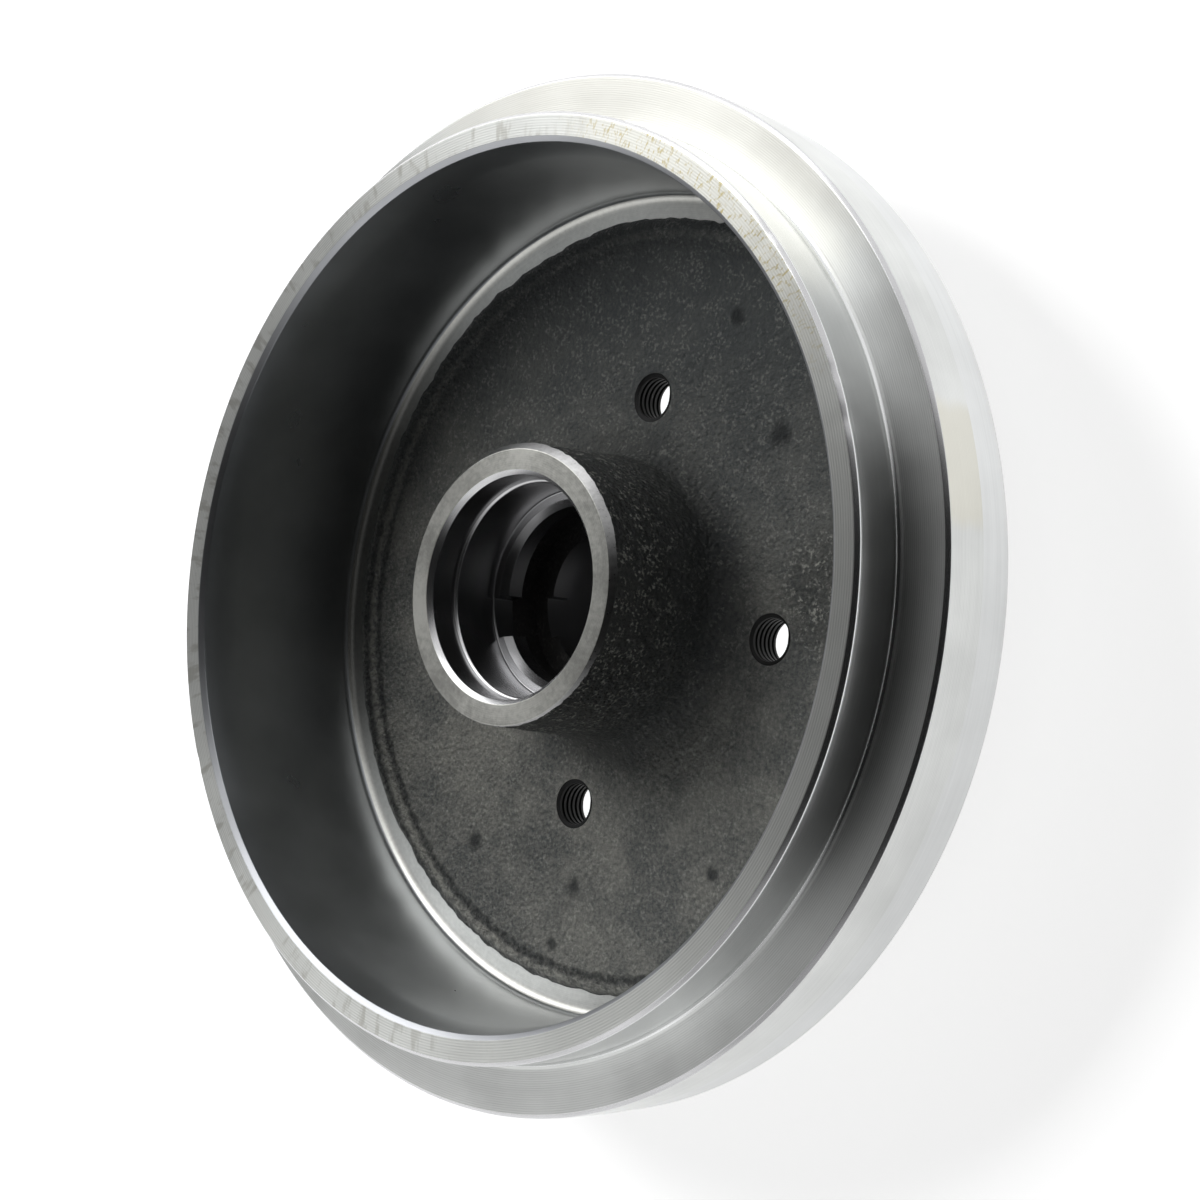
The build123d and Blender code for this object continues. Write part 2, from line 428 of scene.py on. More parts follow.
def open_web(bm, centre):
    """Take out the faces round a hole and draw the two ragged rims onto a circle."""
    inside = [
        face for face in bm.faces
        if min((vert.co.xy - centre).length for vert in face.verts) < OPENING_R - OPENING_MARGIN
    ]
    bmesh.ops.delete(bm, geom=inside, context="FACES")
    rim = {vert for edge in bm.edges if edge.is_boundary for vert in edge.verts}
    for vert in rim:
        away = vert.co.xy - centre
        if away.length < OPENING_R + RIM_REACH:
            vert.co.x, vert.co.y = centre + away.normalized() * OPENING_R
    return len(inside)


for index in range(BOLT_COUNT):
    print("faces taken out:", open_web(drum, axis_of(index)))

# %% One threaded tube
THREAD_PITCH = 1.5
THREAD_ROOT_R = 6.0
THREAD_CREST_R = 5.08
THREAD_STEPS = 48
THREAD_MOUTH_R = 6.0
THREAD_TURNS = math.ceil((WEB_Z - WHEEL_FACE_Z) / THREAD_PITCH) + 2
TURN_PROFILE = [
    (THREAD_CREST_R, 0.0),
    (THREAD_CREST_R, THREAD_PITCH / 2),
    (THREAD_ROOT_R, THREAD_PITCH * 11 / 16),
    (THREAD_ROOT_R, THREAD_PITCH * 13 / 16),
    (THREAD_CREST_R, THREAD_PITCH),
]


def threaded_tube():
    """Helical wall from one face of the web to the other, with a countersink at each end."""
    bm = bmesh.new()
    below = WHEEL_FACE_Z - THREAD_PITCH * 3 / 2
    verts = [bm.verts.new((radius, 0, below + height)) for radius, height in TURN_PROFILE]
    for here, there in zip(verts, verts[1:]):
        bm.edges.new((here, there))
    bmesh.ops.spin(
        bm, geom=bm.verts[:] + bm.edges[:], cent=(0, 0, 0), axis=(0, 0, 1),
        dvec=(0, 0, THREAD_PITCH / THREAD_STEPS), angle=math.tau * THREAD_TURNS,
        steps=THREAD_STEPS * THREAD_TURNS, use_merge=False, use_duplicate=False,
    )
    bmesh.ops.remove_doubles(bm, verts=bm.verts, dist=0.001)
    ends = ((WHEEL_FACE_Z, 1, 0.05), (WEB_Z, -1, 0.3))
    for face_z, inward, depth in ends:
        bmesh.ops.bisect_plane(
            bm, geom=bm.verts[:] + bm.edges[:] + bm.faces[:], dist=0.0001,
            plane_co=(0, 0, face_z + inward * depth), plane_no=(0, 0, -inward), clear_outer=True,
        )
        cut = [
            edge for edge in bm.edges
            if edge.is_boundary and all(abs(v.co.z - face_z - inward * depth) < 0.001 for v in edge.verts)
        ]
        grown = bmesh.ops.extrude_edge_only(bm, edges=cut)["geom"]
        for vert in (item for item in grown if isinstance(item, bmesh.types.BMVert)):
            vert.co.xy = vert.co.xy.normalized() * THREAD_MOUTH_R
            vert.co.z = face_z
    for face in bm.faces:
        face.material_index = FINISHES.index("thread")
    part = bpy.data.meshes.new("threaded_tube")
    bm.to_mesh(part)
    bm.free()
    return part


tube = threaded_tube()
print("faces in a threaded tube:", len(tube.polygons))

# %% Set a tube into each opening
def near_axis(edge, centre, height):
    """True where an open edge belongs to the hole's rim at this height."""
    return edge.is_boundary and all(
        (vert.co.xy - centre).length < OPENING_R + OPENING_MARGIN and abs(vert.co.z - height) < 0.3
        for vert in edge.verts
    )


for index in range(BOLT_COUNT):
    centre = axis_of(index)
    before = set(drum.verts)
    drum.from_mesh(tube)
    added = [vert for vert in drum.verts if vert not in before]
    bmesh.ops.translate(drum, verts=added, vec=(centre.x, centre.y, 0))
    for height in (WHEEL_FACE_Z, WEB_Z):
        rims = [edge for edge in drum.edges if near_axis(edge, centre, height)]
        bridged = bmesh.ops.bridge_loops(drum, edges=rims)
        finish = "turned" if height == WHEEL_FACE_Z else "cast"
        for face in bridged["faces"]:
            face.material_index = FINISHES.index(finish)
bpy.data.meshes.remove(tube)
bmesh.ops.recalc_face_normals(drum, faces=drum.faces)
print("open edges left:", sum(edge.is_boundary for edge in drum.edges))

# %% [markdown]
# ## The skin of the sand mould
#
# Bump in a material only changes how light falls on a surface. It can't bend an outline or a
# shadow, so the larger unevenness of the casting goes into the mesh: long swells of the web, pits
# and grains of a few millimetres, and the ragged edge where the cutter stopped. Noise that is read
# at each point in space has no seam.

# %% Relief of the cast surfaces
SWELL = ((15.0, 0.16), (5.5, 0.07), (2.3, 0.05))
SWELL_SEED = 3
FLANK_GRAIN = ((6.0, 0.12), (2.2, 0.13), (1.3, 0.07))
FLANK_SEED = 11
FLANK_GRAIN_R = 40.0
CAVITY_SEED = 5
CAST = {FINISHES.index("cast"), FINISHES.index("cavity")}
skin = {vert for face in drum.faces if face.material_index in CAST for vert in face.verts}
skin_only = [
    vert for vert in skin if all(face.material_index in CAST for face in vert.link_faces)
]
drum.normal_update()
pushes = {}
for vert in skin_only:
    radius = math.hypot(vert.co.x, vert.co.y)
    if radius < SEAT_R:
        height = grain(vert.co, FLANK_GRAIN, CAVITY_SEED)
    elif radius < FLANK_GRAIN_R and vert.co.z > WEB_Z + 1:
        height = grain(vert.co, FLANK_GRAIN, FLANK_SEED)
        height *= smooth_step(NOSE_EDGE_Z + 1, NOSE_EDGE_Z - 1.5, vert.co.z)
    else:
        height = grain(vert.co, SWELL, SWELL_SEED)
    pushes[vert] = vert.normal * height
for vert, push in pushes.items():
    vert.co += push
print("vertices of the skin:", len(pushes))

# %% Ragged border where the turned ring meets the web
BORDER_RAGGED = ((30.0, 0.6), (5.0, 0.5), (2.2, 0.6))
BORDER_SEED = 19
BORDER_START_R = BORDER_R - 3
BORDER_FULL_R = BORDER_R - 1.5
on_border = []
for vert in skin:
    radius = math.hypot(vert.co.x, vert.co.y)
    at_height = RING_Z - 0.5 < vert.co.z < WEB_Z + 0.6
    if at_height and BORDER_START_R < radius < BORDER_R + 0.3:
        on_border.append(vert)
for vert in on_border:
    radius = math.hypot(vert.co.x, vert.co.y)
    away = Vector((vert.co.x, vert.co.y, 0)) / radius
    share = smooth_step(BORDER_START_R, BORDER_FULL_R, radius)
    vert.co += away * grain(away * BORDER_R, BORDER_RAGGED, BORDER_SEED) * share
print("vertices on the border:", len(on_border))

# %% [markdown]
# ## Nicks in the lip
#
# The outer edge of the lip has taken a few knocks on its way, which left small bright dents. A
# dent is a short stretch of the edge that is pushed in and down. The list gives where each one
# lies and how long it is, both as angles round the axle.

# %% Knock a few nicks into the lip's outer edge
NICKS = [(51.5, 1.4), (46.9, 0.7), (32.6, 0.7), (26.9, 1.5), (215.0, 1.0)]
NICK_DEPTH = 0.15
NICK_ROUGH = ((0.9, 1.2),)
NICK_SEED = 41
NICK_WIDTH = 1.3
for vert in drum.verts:
    radius = math.hypot(vert.co.x, vert.co.y)
    if not LIP_R - NICK_WIDTH < radius < LIP_R + 0.2 or vert.co.z < LIP_TOP - NICK_WIDTH:
        continue
    angle = math.degrees(math.atan2(vert.co.y, vert.co.x)) % 360
    for middle, half in NICKS:
        depth = NICK_DEPTH * smooth_step(half, half / 3, abs(angle - middle))
        depth *= 1 + grain(vert.co, NICK_ROUGH, NICK_SEED)
        vert.co.xy -= vert.co.xy.normalized() * depth
        vert.co.z -= depth / 2
print("nicks:", len(NICKS))

# %% Make the object
SHARP = math.radians(32)
for face in drum.faces:
    face.smooth = True
for edge in drum.edges:
    edge.smooth = edge.calc_face_angle(0) < SHARP
bmesh.ops.scale(drum, vec=(MM, MM, MM), verts=drum.verts)
mesh = bpy.data.meshes.new("drum_casting")
drum.to_mesh(mesh)
drum.free()
casting = new_object("drum_casting", mesh)
weighted = casting.modifiers.new("flat_faces_stay_flat", "WEIGHTED_NORMAL")
weighted.keep_sharp = True
print("triangles:", sum(len(p.vertices) - 2 for p in mesh.polygons))

# %% [markdown]
# ## Small helpers for node trees
#
# Each finish is a tree of shader nodes. A few helpers keep such a tree readable: one fills the
# sockets of a node with values or links, one adds a node, and the others are the steps that come
# back all the time, such as arithmetic, a soft ramp, a mix of two colours and a noise.

# %% Node helpers
def feed(tree, node, inputs):
    """Fill sockets: inputs maps a socket's name or number to a value or to another node's output."""
    for name, source in inputs.items():
        if isinstance(source, bpy.types.NodeSocket):
            tree.links.new(source, node.inputs[name])
        else:
            node.inputs[name].default_value = source


def add(tree, kind, inputs=None, **settings):
    """New node with these settings and inputs."""
    made = tree.nodes.new(kind)
    for name, value in settings.items():
        setattr(made, name, value)
    feed(tree, made, inputs or {})
    return made


def calc(tree, operation, first, second=0.0, third=0.0):
    """Result of one Math node."""
    return add(tree, "ShaderNodeMath", {0: first, 1: second, 2: third}, operation=operation).outputs[0]


def between(tree, value, low_end, high_end, to_low=0.0, to_high=1.0):
    """Smooth ramp of a value from one range to another."""
    ends = {"Value": value, "From Min": low_end, "From Max": high_end, "To Min": to_low, "To Max": to_high}
    return add(tree, "ShaderNodeMapRange", ends, interpolation_type="SMOOTHSTEP").outputs["Result"]


def mix(tree, share, first, second):
    """Colour between two others."""
    made = add(tree, "ShaderNodeMix", data_type="RGBA")
    for name, source in (("Factor", share), ("A", first), ("B", second)):
        kind = "VALUE" if name == "Factor" else "RGBA"
        socket = next(s for s in made.inputs if s.name == name and s.type == kind)
        if isinstance(source, bpy.types.NodeSocket):
            tree.links.new(source, socket)
        else:
            socket.default_value = source if name == "Factor" else (*source, 1)
    return next(s for s in made.outputs if s.type == "RGBA")


def object_point(tree):
    """Point in the object's own space, in millimetres."""
    place = add(tree, "ShaderNodeTexCoord").outputs["Object"]
    return add(tree, "ShaderNodeVectorMath", {0: place, "Scale": 1 / MM}, operation="SCALE").outputs[0]


def noise_at(tree, point, scale, detail=2.0, roughness=0.5):
    """Noise between 0 and 1, which is about 0.5 on the whole."""
    inputs = {"Vector": point, "Scale": scale, "Detail": detail, "Roughness": roughness}
    return add(tree, "ShaderNodeTexNoise", inputs).outputs["Fac"]


def new_group(name, inputs, outputs):
    """Empty node group. Inputs and outputs map a socket's name to its value, a number or a vector."""
    group = bpy.data.node_groups.new(name, "ShaderNodeTree")
    for side, sockets in (("INPUT", inputs), ("OUTPUT", outputs)):
        for socket, value in sockets.items():
            kind = "NodeSocketVector" if isinstance(value, tuple) else "NodeSocketFloat"
            made = group.interface.new_socket(socket, in_out=side, socket_type=kind)
            made.default_value = value
    return group, group.nodes.new("NodeGroupInput"), group.nodes.new("NodeGroupOutput")


def new_material(name):
    """Material with nodes, its tree and its main shader."""
    material = bpy.data.materials.new(name)
    material.use_nodes = True
    return material, material.node_tree, material.node_tree.nodes["Principled BSDF"]


# %% [markdown]
# ## Where a point lies on a turned part
#
# A lathe leaves marks that run round the axle. To draw them, a material needs two things: how far
# the cutter had travelled when it passed a point, and in which direction the point lies. The travel
# is taken as radius plus height, which grows steadily on flat faces and on round walls alike. The
# direction is a unit vector and not an angle, because an angle jumps where it starts again.

# %% Group: lathe coordinates, in millimetres
def build_lathe_coordinates():
    """Travel of the cutter up to a point, and the direction of the point."""
    group, _, out = new_group("lathe_coordinates", {}, {"Travel": 0.0, "Direction": (0.0, 0.0, 0.0)})
    split = add(group, "ShaderNodeSeparateXYZ", {0: object_point(group)})
    flat = {"X": split.outputs["X"], "Y": split.outputs["Y"]}
    flat = add(group, "ShaderNodeCombineXYZ", flat).outputs[0]
    radius = add(group, "ShaderNodeVectorMath", {0: flat}, operation="LENGTH").outputs["Value"]
    direction = add(group, "ShaderNodeVectorMath", {0: flat}, operation="NORMALIZE").outputs[0]
    travel = calc(group, "ADD", radius, split.outputs["Z"])
    feed(group, out, {"Travel": travel, "Direction": direction})
    return group


lathe_coordinates = build_lathe_coordinates()


def lathe_point(tree, direction_scale, travel_scale):
    """Vector for a noise that is stretched round the axle, or along the travel."""
    where = add(tree, "ShaderNodeGroup", node_tree=lathe_coordinates)
    ends = {0: where.outputs["Direction"], "Scale": direction_scale}
    turned = add(tree, "ShaderNodeVectorMath", ends, operation="SCALE").outputs[0]
    split = add(tree, "ShaderNodeSeparateXYZ", {0: turned})
    run = calc(tree, "MULTIPLY", where.outputs["Travel"], travel_scale)
    point = {"X": split.outputs["X"], "Y": split.outputs["Y"], "Z": run}
    return add(tree, "ShaderNodeCombineXYZ", point).outputs[0]


print("groups:", [group.name for group in bpy.data.node_groups])

# %% [markdown]
# ## Tool marks
#
# The cutter leaves a fine screw thread of grooves. A sine wave of the travel gives their pitch, and
# a noise that is stretched round the axle breaks them up here and there, as a worn tip and a little
# chatter do. Bare metal is never quite even either: handling and a breath of oil leave soft clouds,
# which a slow noise adds to the shade, and a fine noise adds the grain of the iron itself.

# %% Group: tool marks
def build_tool_marks():
    """Height of the grooves that a cutter leaves, and the shade of the metal between 0 and 1."""
    inputs = {"Pitch": 0.5, "Lines": 0.1, "Rings": 0.3, "Clouds": 0.3, "Grain": 0.0}
    group, given, out = new_group("tool_marks", inputs, {"Height": 0.0, "Shade": 0.5})
    where = add(group, "ShaderNodeGroup", node_tree=lathe_coordinates)
    place = object_point(group)

    def swing(name, value):
        """Noise that swings about 0, as far as the input of this name says."""
        return calc(group, "MULTIPLY", calc(group, "SUBTRACT", value, 0.5), given.outputs[name])

    turns = calc(group, "DIVIDE", where.outputs["Travel"], given.outputs["Pitch"])
    wave = calc(group, "SINE", calc(group, "MULTIPLY", turns, math.tau))
    chatter = noise_at(group, lathe_point(group, 34.0, 0.9), 1.0)
    wave = calc(group, "MULTIPLY", wave, between(group, chatter, 0.3, 0.7, 0.3, 1.0))
    rings = swing("Rings", noise_at(group, lathe_point(group, 2.2, 1.6), 1.0, 3.0))
    clouds = swing("Clouds", noise_at(group, place, 0.05, 3.0))
    fine = swing("Grain", noise_at(group, place, 0.9, 4.0, 0.6))
    height = calc(group, "MULTIPLY_ADD", rings, 4.0, wave)
    shade = calc(group, "MULTIPLY_ADD", wave, given.outputs["Lines"], 0.5)
    for part in (rings, clouds, fine):
        shade = calc(group, "MULTIPLY_ADD", part, 2.0, shade)
    feed(group, out, {"Height": height, "Shade": shade})
    return group


tool_marks = build_tool_marks()

# %% [markdown]
# ## Oil film
#
# A new drum leaves the factory with a film of rust-preventing oil. It dries to pale yellow patches
# with brown tips that run across the tool marks. Each patch lies in one direction from the axle. How
# far a point is from that direction comes from a dot product, a noise makes the patch's edge
# uneven, and a finer noise draws the short streaks inside it. The point is divided by their width
# and length first, so that a streak is as long and as narrow as asked.

# %% Group: oil film
def build_oil_film():
    """Masks for the pale film of one patch and for the brown streaks in it."""
    inputs = {
        "Towards": (1.0, 0.0, 0.0), "Reach": 0.1, "Softness": 0.05,
        "Streaks": 0.5, "Width": 0.7, "Length": 1.3,
    }
    group, given, out = new_group("oil_film", inputs, {"Film": 0.0, "Streak": 0.0})
    where = add(group, "ShaderNodeGroup", node_tree=lathe_coordinates)
    facing = {0: where.outputs["Direction"], 1: given.outputs["Towards"]}
    facing = add(group, "ShaderNodeVectorMath", facing, operation="DOT_PRODUCT").outputs["Value"]
    uneven = calc(group, "SUBTRACT", noise_at(group, lathe_point(group, 5.0, 0.12), 1.0, 4.0), 0.5)
    uneven = calc(group, "MULTIPLY", uneven, given.outputs["Softness"])
    away = calc(group, "ADD", calc(group, "SUBTRACT", 1.0, facing), uneven)
    beyond = calc(group, "SUBTRACT", away, given.outputs["Reach"])
    film = between(group, calc(group, "DIVIDE", beyond, given.outputs["Softness"]), 0.5, -0.5)
    size = {"X": given.outputs["Width"], "Y": given.outputs["Width"], "Z": given.outputs["Length"]}
    tips = {0: lathe_point(group, LIP_R, 1.0), 1: add(group, "ShaderNodeCombineXYZ", size).outputs[0]}
    tips = add(group, "ShaderNodeVectorMath", tips, operation="DIVIDE").outputs[0]
    least = calc(group, "SUBTRACT", 0.8, calc(group, "MULTIPLY", given.outputs["Streaks"], 0.4))
    above = calc(group, "SUBTRACT", noise_at(group, tips, 1.0, 4.0), least)
    streak = calc(group, "MULTIPLY", between(group, above, -0.04, 0.12), film)
    feed(group, out, {"Film": film, "Streak": streak})
    return group


oil_film = build_oil_film()
print("groups:", [group.name for group in bpy.data.node_groups])

# %% [markdown]
# ## Turned iron
#
# Bare iron is a metal, so it has no diffuse colour of its own: it only mirrors. Grooves scatter that
# mirror image across themselves, far more than along themselves. The shader calls this anisotropy.
# Its direction comes from the cross product of the axle and the point, which runs round the axle,
# and a quarter turn lays the stretched highlight across the grooves.

# %% Material: turned iron
FILM_YELLOW = (0.66, 0.63, 0.52)
RINGS = 0.12
DULL_SHARE = 0.78
PALEST = 0.95
ROUGH_SPREAD = 0.12
QUARTER_TURN = 0.25


def turned_iron(name, colour, roughness, stretch, pitch, groove, lines, clouds, fine, patches=()):
    """Machined iron: tool marks of a pitch and depth in millimetres, and patches of dried oil."""
    material, tree, shader = new_material("iron_" + name)
    rings = RINGS if groove else 0.0
    marks = {"Pitch": pitch, "Lines": lines, "Rings": rings, "Clouds": clouds, "Grain": fine}
    marks = add(tree, "ShaderNodeGroup", marks, node_tree=tool_marks)
    dull = tuple(c * DULL_SHARE for c in colour)
    clean = tuple(min(PALEST, c / DULL_SHARE) for c in colour)
    base = mix(tree, between(tree, marks.outputs["Shade"], 0.0, 1.0), dull, clean)
    for oil in patches:
        turn = math.radians(oil["direction"])
        patch = {
            "Towards": Vector((math.cos(turn), math.sin(turn), 0)),
            "Reach": 1 - math.cos(math.radians(oil["half_width"])), "Softness": oil["softness"],
            "Streaks": oil["streaks"], "Width": oil["width"], "Length": oil["length"],
        }
        patch = add(tree, "ShaderNodeGroup", patch, node_tree=oil_film)
        film = calc(tree, "MULTIPLY", patch.outputs["Film"], oil["film"])
        base = mix(tree, film, base, FILM_YELLOW)
        streak = calc(tree, "MULTIPLY", patch.outputs["Streak"], oil["depth"])
        base = mix(tree, streak, base, oil["tips"])
    rough = calc(tree, "SUBTRACT", marks.outputs["Shade"], 0.5)
    rough = calc(tree, "MULTIPLY_ADD", rough, ROUGH_SPREAD, roughness)
    round_axle = {0: (0, 0, 1), 1: add(tree, "ShaderNodeTexCoord").outputs["Object"]}
    round_axle = add(tree, "ShaderNodeVectorMath", round_axle, operation="CROSS_PRODUCT").outputs[0]
    feed(tree, shader, {
        "Base Color": base, "Roughness": rough, "Metallic": 1.0, "Tangent": round_axle,
        "Anisotropic": stretch, "Anisotropic Rotation": QUARTER_TURN,
    })
    if groove:
        bump = {"Height": marks.outputs["Height"], "Distance": groove * MM, "Strength": 1.0}
        feed(tree, shader, {"Normal": add(tree, "ShaderNodeBump", bump).outputs[0]})
    return material


# %% [markdown]
# ## Cast iron
#
# The skin that touched the sand is dark, matt and grainy, with slow clouds where it stayed paler.
# Grains of bare metal are painted near white, partly as bare metal and partly as a painted glint. A
# noise and small round pits make its bump; the coarse relief is already in the mesh. It is hardly a
# metal to the eye, because scale and dust cover most of it.

# %% Group: sand skin
def build_sand_skin():
    """Height of the grain, and masks for slow clouds, grit and small bare specks."""
    outputs = {"Height": 0.0, "Cloud": 0.0, "Grit": 0.0, "Speck": 0.0}
    group, _, out = new_group("sand_skin", {}, outputs)
    place = object_point(group)
    coarse = noise_at(group, place, 0.8, 5.0, 0.68)
    pits = add(group, "ShaderNodeTexVoronoi", {"Vector": place, "Scale": 0.8}, feature="SMOOTH_F1")
    height = calc(group, "MULTIPLY_ADD", pits.outputs["Distance"], 0.5, coarse)
    cloud = between(group, noise_at(group, place, 0.045, 6.0, 0.7), 0.36, 0.64)
    grit = between(group, noise_at(group, place, 0.9, 5.0, 0.78), 0.34, 0.66)
    speck = between(group, noise_at(group, place, 1.2, 4.0, 0.6), 0.5, 0.66)
    clump = between(group, noise_at(group, place, 0.3), 0.4, 0.6)
    speck = calc(group, "MULTIPLY", speck, clump)
    feed(group, out, {"Height": height, "Cloud": cloud, "Grit": grit, "Speck": speck})
    return group


sand_skin = build_sand_skin()
print("nodes in", sand_skin.name + ":", len(sand_skin.nodes))

# %% [markdown]
# ## Marks of the mould
#
# The core that shaped the inside left a lumpy bead close to the border, with a groove on each side
# of it. The bead is painted paler, a painted highlight on its ridge, and the grooves are painted
# dark, a painted shade in them. Its ring isn't round the axle, because the core sat a little to one
# side. A few dark spots are spread over the web, where a bit of scale stayed on. The neck of the hub
# nose kept a coarser skin than the web, and it is painted darker, a painted shade round the root of
# the nose. Bare grains are painted near white on its upper half and on one patch behind a bolt hole,
# partly as bare metal and partly as a painted glint. The web is also painted darker towards its +Y
# side, a painted shade. All are masks of where a point lies in space.

# %% Group: mould marks
BEAD_CENTRE = (3.8, -0.8)
BEAD_R = 90.95
LINE_GAP = 2.5
SPOTS = [
    (245, 74.0, 2.4), (73, 75.0, 2.2), (274, 69.5, 2.2), (271, 84.7, 1.6), (48, 62.0, 3.0),
    (310, 72.5, 1.7),
]
BARE_PATCH = (12, 67.0, 13.0)
NECK_FULL_R = 36.0
NECK_NONE_R = 46.0


def build_mould_marks():
    """Masks for the bead, the lines beside it, the spots, the neck, bare grains and a painted side shade.
    """
    outputs = {"Bead": 0.0, "Line": 0.0, "Spot": 0.0, "Neck": 0.0, "Bare": 0.0, "Painted_Side_Light": 1.0}
    group, _, out = new_group("mould_marks", {}, outputs)
    place = object_point(group)
    split = add(group, "ShaderNodeSeparateXYZ", {0: place})
    flat = add(group, "ShaderNodeVectorMath", {0: place, 1: (1, 1, 0)}, operation="MULTIPLY").outputs[0]
    inside = between(group, split.outputs["Z"], WHEEL_FACE_Z + 2, RING_Z - 1)
    uneven = calc(group, "SUBTRACT", noise_at(group, place, 0.4, 4.0, 0.6), 0.5)
    lumps = between(group, noise_at(group, place, 0.7, 3.0), 0.36, 0.6, 0.15, 1.0)

    def distance(x, y):
        """Distance from an upright line through this point, made a little uneven."""
        gap = add(group, "ShaderNodeVectorMath", {0: flat, 1: (x, y, 0)}, operation="DISTANCE")
        return calc(group, "MULTIPLY_ADD", uneven, 3.0, gap.outputs["Value"])

    def blot(angle, radius, reach):
        """Soft round mask at this angle and radius."""
        turn = math.radians(angle)
        away = distance(radius * math.cos(turn), radius * math.sin(turn))
        return between(group, away, reach * 1.5, reach * 0.4)

    # The bead and its grooves fade towards +Y, in relief and in their painted highlight and shade
    strength = between(group, split.outputs["Y"], 60.0, -30.0, 0.25, 1.0)
    strength = calc(group, "MULTIPLY", inside, strength)
    off = calc(group, "ABSOLUTE", calc(group, "SUBTRACT", distance(*BEAD_CENTRE), BEAD_R))
    bead = calc(group, "MULTIPLY", between(group, off, 1.5, 0.5), lumps)
    bead = calc(group, "MULTIPLY", bead, strength)
    line = calc(group, "ABSOLUTE", calc(group, "SUBTRACT", off, LINE_GAP))
    line = between(group, line, 1.5, 0.3)
    line = calc(group, "MULTIPLY", line, calc(group, "MULTIPLY_ADD", lumps, 0.5, 0.5))
    line = calc(group, "MULTIPLY", line, strength)
    spot = 0.0
    for angle, radius, reach in SPOTS:
        spot = calc(group, "MAXIMUM", spot, blot(angle, radius, reach))
    spot = calc(group, "MULTIPLY", spot, inside)
    neck = calc(group, "MULTIPLY", between(group, distance(0, 0), NECK_NONE_R, NECK_FULL_R), inside)
    # Bare grains, with their painted glint, only on the upper half of the neck
    upper = calc(group, "MULTIPLY", neck, between(group, split.outputs["Z"], WEB_Z + 6, NOSE_Z - 8))
    bare = calc(group, "MAXIMUM", upper, calc(group, "MULTIPLY", blot(*BARE_PATCH), inside))
    # Painted shade: this mask paints the web darker towards its +Y side
    pale = between(group, split.outputs["Y"], 80.0, -30.0, 0.15, 1.0)
    feed(group, out, {
        "Bead": bead, "Line": line, "Spot": spot, "Neck": neck, "Bare": bare, "Painted_Side_Light": pale,
    })
    return group


mould_marks = build_mould_marks()
print("nodes in", mould_marks.name + ":", len(mould_marks.nodes))


# %% Material: cast iron
# How dark or pale the marks are, measured by the skin's own two colours: real spots of scale,
# bare grains with a painted glint, and the painted shade and highlight of the neck, bead and grooves
NECK_PAINTED_SHADE = 0.35
SPOT_AND_GROOVE_SHADE = 0.3
BEAD_PAINTED_HIGHLIGHT = 1.4
SPECK_PALE_AND_GLINT = 3.0
# Bare grains everywhere, then how many more and how much coarser on the neck
SPECKS = 0.15
MORE_SPECKS = 0.5
COARSER = 1.8
BEAD_HEIGHT = 0.5


def shaded(colour, share):
    """The same colour, darker or paler."""
    return tuple(min(1.0, c * share) for c in colour)


def cast_iron(name, dark, pale, roughness, relief, metal):
    """Sand-cast skin between two colours, of which some share is bare metal."""
    material, tree, shader = new_material("iron_" + name)
    skin = add(tree, "ShaderNodeGroup", node_tree=sand_skin).outputs
    marks = add(tree, "ShaderNodeGroup", node_tree=mould_marks).outputs
    share = calc(tree, "MULTIPLY", skin["Cloud"], 0.45)
    share = calc(tree, "MULTIPLY_ADD", skin["Grit"], 0.55, share)
    # Painted shade: the pale share falls towards the web's +Y side
    share = calc(tree, "MULTIPLY", share, marks["Painted_Side_Light"])
    base = mix(tree, share, dark, pale)
    # Painted shade: the neck of the nose and the web round its root are painted darker
    base = mix(tree, calc(tree, "MULTIPLY", marks["Neck"], 0.6), base, shaded(dark, NECK_PAINTED_SHADE))
    bare = calc(tree, "MULTIPLY_ADD", marks["Bare"], MORE_SPECKS, SPECKS)
    # Bare grains are painted near white: partly bare metal, partly a painted glint
    bare = calc(tree, "MULTIPLY", skin["Speck"], bare)
    base = mix(tree, bare, base, shaded(pale, SPECK_PALE_AND_GLINT))
    # Painted highlight: the ridge of the bead is painted paler
    base = mix(tree, calc(tree, "MULTIPLY", marks["Bead"], 0.7), base, shaded(pale, BEAD_PAINTED_HIGHLIGHT))
    # Dark spots of scale, and painted shade in the two grooves beside the bead
    spots_and_groove_shade = calc(tree, "MULTIPLY", calc(tree, "MAXIMUM", marks["Line"], marks["Spot"]), 0.85)
    base = mix(tree, spots_and_groove_shade, base, shaded(dark, SPOT_AND_GROOVE_SHADE))
    rough = calc(tree, "MULTIPLY_ADD", skin["Speck"], -0.15, roughness)
    coarser = calc(tree, "MULTIPLY_ADD", marks["Bare"], COARSER, 1.0)
    height = calc(tree, "MULTIPLY", calc(tree, "MULTIPLY", skin["Height"], relief), coarser)
    height = calc(tree, "MULTIPLY_ADD", marks["Bead"], BEAD_HEIGHT, height)
    height = calc(tree, "MULTIPLY_ADD", marks["Line"], -BEAD_HEIGHT, height)
    bump = add(tree, "ShaderNodeBump", {"Height": height, "Distance": MM, "Strength": 1.0})
    feed(tree, shader, {
        "Base Color": base, "Roughness": rough, "Metallic": metal, "Normal": bump.outputs[0],
    })
    return material


